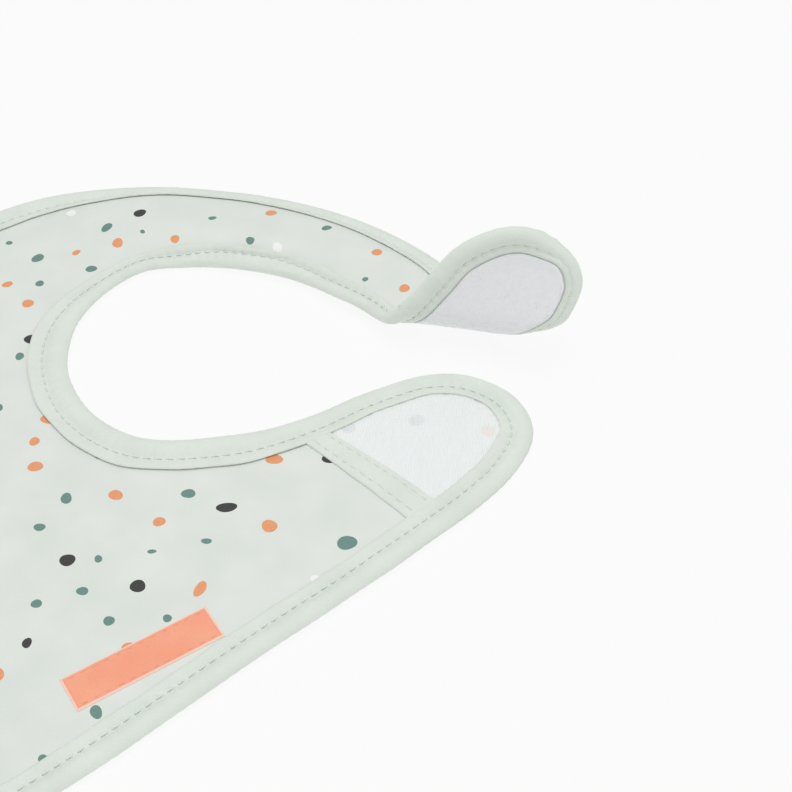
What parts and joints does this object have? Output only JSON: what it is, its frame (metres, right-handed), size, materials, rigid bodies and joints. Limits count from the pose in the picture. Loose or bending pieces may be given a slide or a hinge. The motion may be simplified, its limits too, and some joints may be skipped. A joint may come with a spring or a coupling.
{
  "type": "baby bib",
  "caption": "Wipe-clean sewn bib with bias-bound edges, a curved neck strap that closes with hook and loop tape on the shoulder, and a crumb pocket.",
  "frame": {"origin": "middle of the neck opening, on the surface that the bib lies on", "axes": "+Z out of the printed face, +Y towards the back of the neck, +X to the right of someone who faces the print"},
  "size_m": [0.2236, 0.3035, 0.0497],
  "materials": {
    "printed_cloth": "smooth coated cloth, soft satin, pale sage with a scattered stone print",
    "lining_cloth": "plain woven lining, matt",
    "binding_tape": "coated bias tape, soft satin, sage",
    "thread": "twisted sewing thread, sage",
    "hook_tape": "translucent white moulded hooks in fine ribs",
    "loop_tape": "brushed white loop pile",
    "label_cloth": "woven label, satin, coral orange with a pale edge",
    "label_thread": "sewing thread, coral orange"
  },
  "bodies": {
    "body": {"front_panel": "printed_cloth", "back_lining": "lining_cloth", "neck_binding": "binding_tape", "outer_binding": "binding_tape", "neck_stitching": "thread", "outer_stitching": "thread", "hook_patch": "hook_tape", "hook_patch_band": "binding_tape", "band_stitching": "thread", "side_label": "label_cloth", "label_stitching": "label_thread", "pocket_gusset_left": "printed_cloth", "pocket_gusset_right": "printed_cloth"},
    "pocket": {"pocket_panel": "printed_cloth", "pocket_mouth_binding": "binding_tape", "pocket_stitching": "thread"},
    "strap": {"strap_panel": "printed_cloth", "strap_lining": "lining_cloth", "strap_neck_binding": "binding_tape", "strap_back_binding": "binding_tape", "strap_stitching": "thread", "fold_panel": "printed_cloth", "fold_neck_binding": "binding_tape", "fold_back_binding": "binding_tape", "fold_loop_patch": "loop_tape"},
    "loop_tab": {"loop_tab_panel": "printed_cloth", "loop_tab_lining": "lining_cloth", "loop_tab_binding": "binding_tape", "loop_tab_stitching": "thread", "loop_patch": "loop_tape"}
  },
  "joints": [
    {"name": "pocket_open", "type": "hinge", "parent": "body", "child": "pocket", "pos_m": [0, -0.203, 0.0027], "axis": [1, 0, 0], "range_deg": [0, 25], "deforming": ["pocket_gusset_left", "pocket_gusset_right"]},
    {"name": "strap_lift", "type": "hinge", "parent": "body", "child": "strap", "pos_m": [-0.0425, 0.013, 0.00325], "axis": [0.5547, -0.832, 0], "range_deg": [0, 75]},
    {"name": "loop_tab_peel", "type": "hinge", "parent": "strap", "child": "loop_tab", "pos_m": [0.03642, 0.05266, 0.00773], "axis": [-0.7865, -0.6146, -0.0609], "range_deg": [-105, 45], "deforming": ["fold_panel", "fold_neck_binding", "fold_back_binding", "fold_loop_patch"]}
  ]
}
